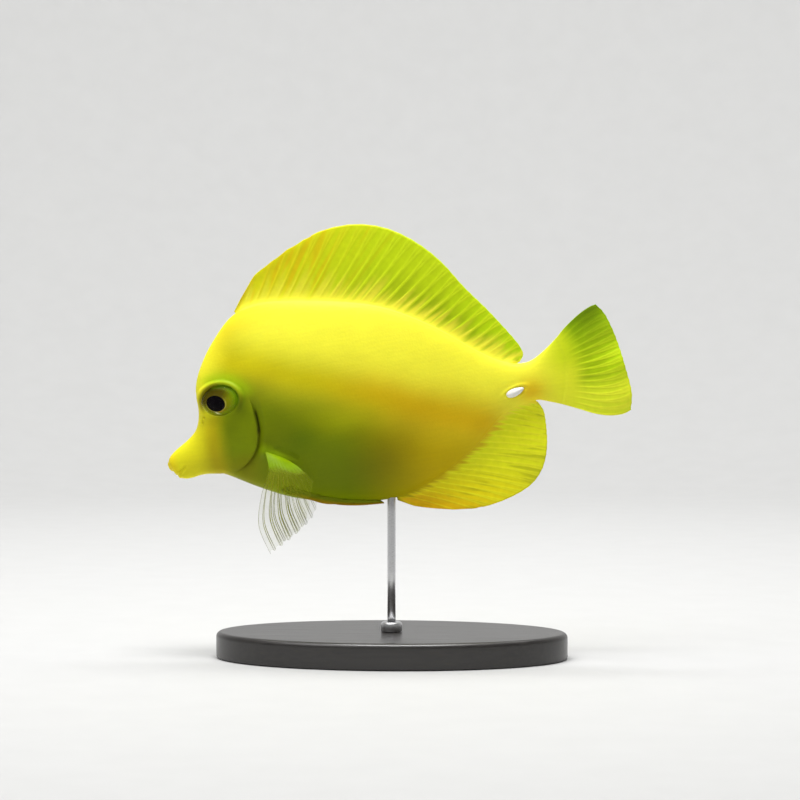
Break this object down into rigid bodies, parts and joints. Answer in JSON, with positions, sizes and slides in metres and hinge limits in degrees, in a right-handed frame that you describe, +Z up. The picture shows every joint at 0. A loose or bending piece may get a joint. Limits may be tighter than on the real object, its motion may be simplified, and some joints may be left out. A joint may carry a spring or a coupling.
{
  "type": "yellow tang model",
  "caption": "Still life-size yellow tang: tall flat disc body, pointed snout, sail-like dorsal and anal fins, white tail spine, head down on a rod and oval base.",
  "frame": {"origin": "centre of the underside of the stand's base", "axes": "+Z up, -X towards the fish's head, +X towards its tail, -Y towards its left side"},
  "size_m": [0.1579, 0.066, 0.1478],
  "materials": {
    "skin": "satin, finely scaled, bright yellow",
    "fin": "thin, ribbed, lime yellow",
    "clear_fin": "clear membrane with pale yellow rays",
    "eye": "wet gloss, olive iris, black pupil",
    "spine": "smooth white",
    "base": "black satin lacquer",
    "steel": "fine brushed"
  },
  "bodies": {
    "root": {"head": "skin", "trunk": "skin", "tail_stem": "skin", "gill_cover_left": "skin", "gill_cover_right": "skin", "eye_left": "eye", "eye_right": "eye", "dorsal_fin": "fin", "anal_fin": "fin", "tail_fin": "fin", "pectoral_fin_left": "clear_fin", "pectoral_fin_right": "clear_fin", "pelvic_fin_left": "fin", "pelvic_fin_right": "fin", "tail_spine_left": "spine", "tail_spine_right": "spine", "stand_base": "base", "stand_collar": "steel", "stand_rod": "steel"}
  },
  "joints": []
}
